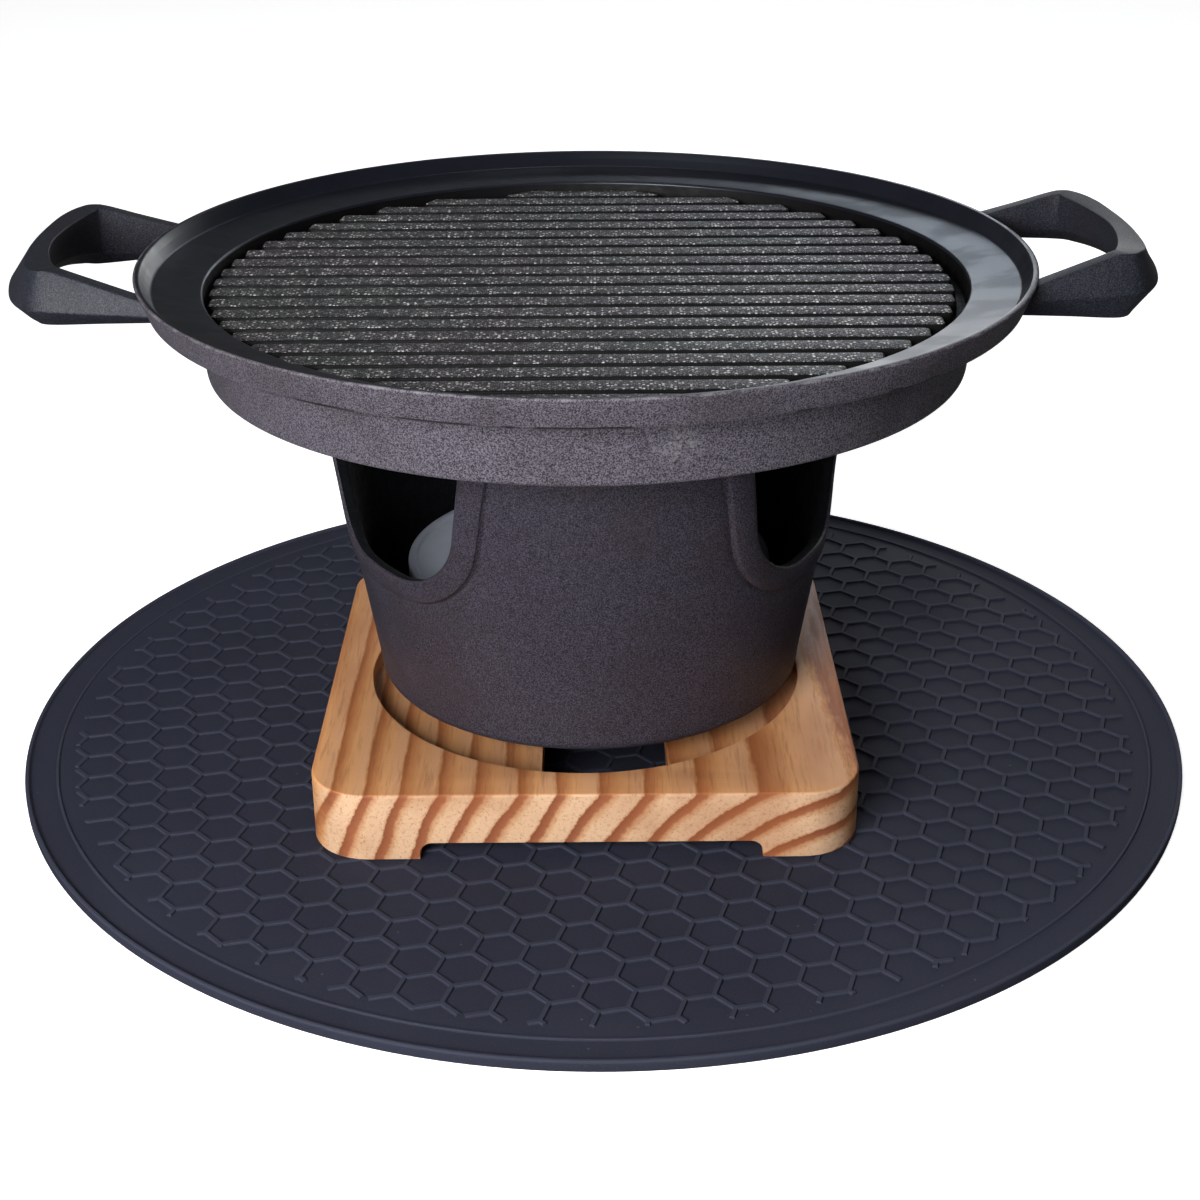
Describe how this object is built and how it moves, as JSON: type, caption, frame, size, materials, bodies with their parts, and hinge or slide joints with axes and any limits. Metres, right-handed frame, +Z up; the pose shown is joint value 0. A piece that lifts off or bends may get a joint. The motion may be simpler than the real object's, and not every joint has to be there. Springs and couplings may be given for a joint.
{
  "type": "hibachi grill",
  "caption": "Round table-top grill: ribbed cast plate with loop handles on a tapered stove with arched air notches, a fuel cup inside, a square wooden base and a round silicone mat.",
  "frame": {"origin": "middle of the mat's underside, on the surface that the set stands on", "axes": "+Z up; the plate's ribs run along X and its handles are at -X and +X; -Y is the front"},
  "size_m": [0.367, 0.367, 0.1639],
  "materials": {
    "silicone": "matte, embossed",
    "pine": "oiled, satin",
    "heat_paint": "fine speckled matte",
    "plate_coating": "non-stick, satin",
    "bare_aluminium": "matte, spun"
  },
  "bodies": {
    "mat": {"silicone_mat": "silicone"},
    "base": {"wooden_base": "pine"},
    "stove": {"stove_body": "heat_paint"},
    "cup": {"fuel_cup": "bare_aluminium"},
    "lid": {"cup_lid": "bare_aluminium"},
    "plate": {"grill_plate": "plate_coating", "left_handle": "heat_paint", "right_handle": "heat_paint"}
  },
  "joints": [
    {"name": "base_lift", "type": "slide", "parent": "mat", "child": "base", "axis": [0, 0, 1], "range_m": [0, 0.15]},
    {"name": "stove_lift", "type": "slide", "parent": "base", "child": "stove", "axis": [0, 0, 1], "range_m": [0, 0.15]},
    {"name": "plate_lift", "type": "slide", "parent": "stove", "child": "plate", "axis": [0, 0, 1], "range_m": [0, 0.25]},
    {"name": "cup_lift", "type": "slide", "parent": "stove", "child": "cup", "axis": [0, 0, 1], "range_m": [0, 0.125]},
    {"name": "lid_lift", "type": "slide", "parent": "cup", "child": "lid", "axis": [0, 0, 1], "range_m": [0, 0.05]}
  ],
  "couplings": [
    {"joint": "cup_lift", "follows": "plate_lift", "ratio": 0.5},
    {"joint": "lid_lift", "follows": "plate_lift", "ratio": 0.2}
  ]
}
